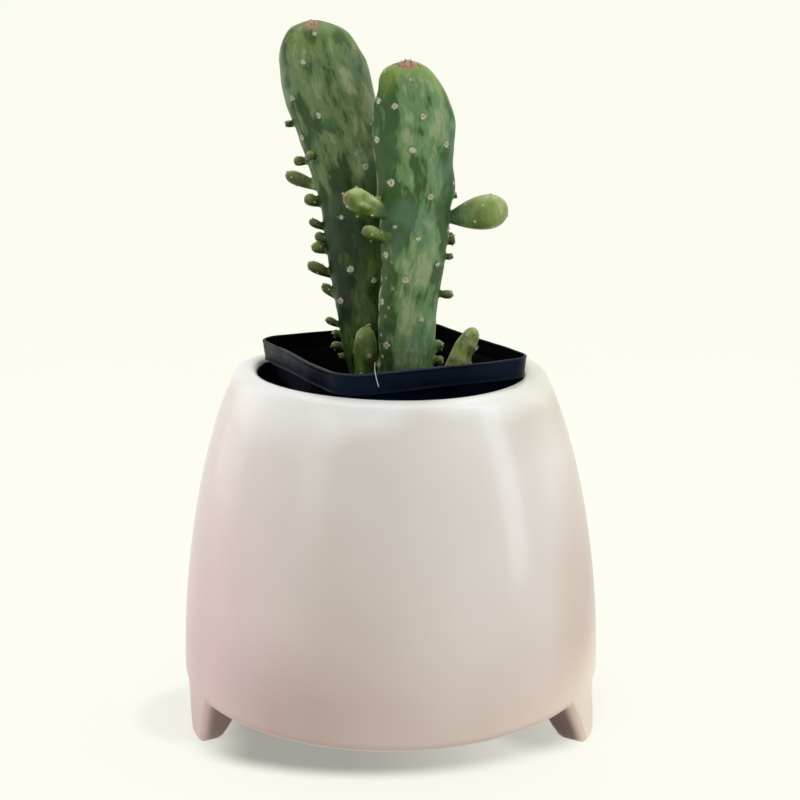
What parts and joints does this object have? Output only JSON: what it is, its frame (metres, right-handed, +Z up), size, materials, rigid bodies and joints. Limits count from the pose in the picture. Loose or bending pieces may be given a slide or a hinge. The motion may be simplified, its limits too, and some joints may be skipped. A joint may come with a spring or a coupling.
{
  "type": "potted drooping prickly pear",
  "caption": "Young prickly pear: tall flattened stems with small shoots, rooted in a square nursery pot that hangs by its collar in a glazed round planter on short legs.",
  "frame": {"origin": "on the floor under the planter's centre, at the bottom centre of the bounding box", "axes": "+Z up along the planter's axis, front towards -Y, +X to the right seen from the front"},
  "size_m": [0.1846, 0.1846, 0.301],
  "materials": {
    "planter": "satin glaze, white at the rim fading to dusty pink below",
    "nursery_pot": "thin thermoformed polypropylene, slightly glossy",
    "soil": "damp dark potting mix with a few pale grains",
    "stem_left": "waxy green skin with pale streaks",
    "stem_right": "waxy green skin with pale streaks, yellower at the tip",
    "pup_front": "waxy olive skin",
    "pup_right": "waxy yellow-green skin"
  },
  "bodies": {
    "root": {"planter": "planter", "nursery_pot": "nursery_pot", "soil": "soil", "stem_left": "stem_left", "stem_right": "stem_right", "pup_front": "pup_front", "pup_right": "pup_right"}
  },
  "joints": []
}
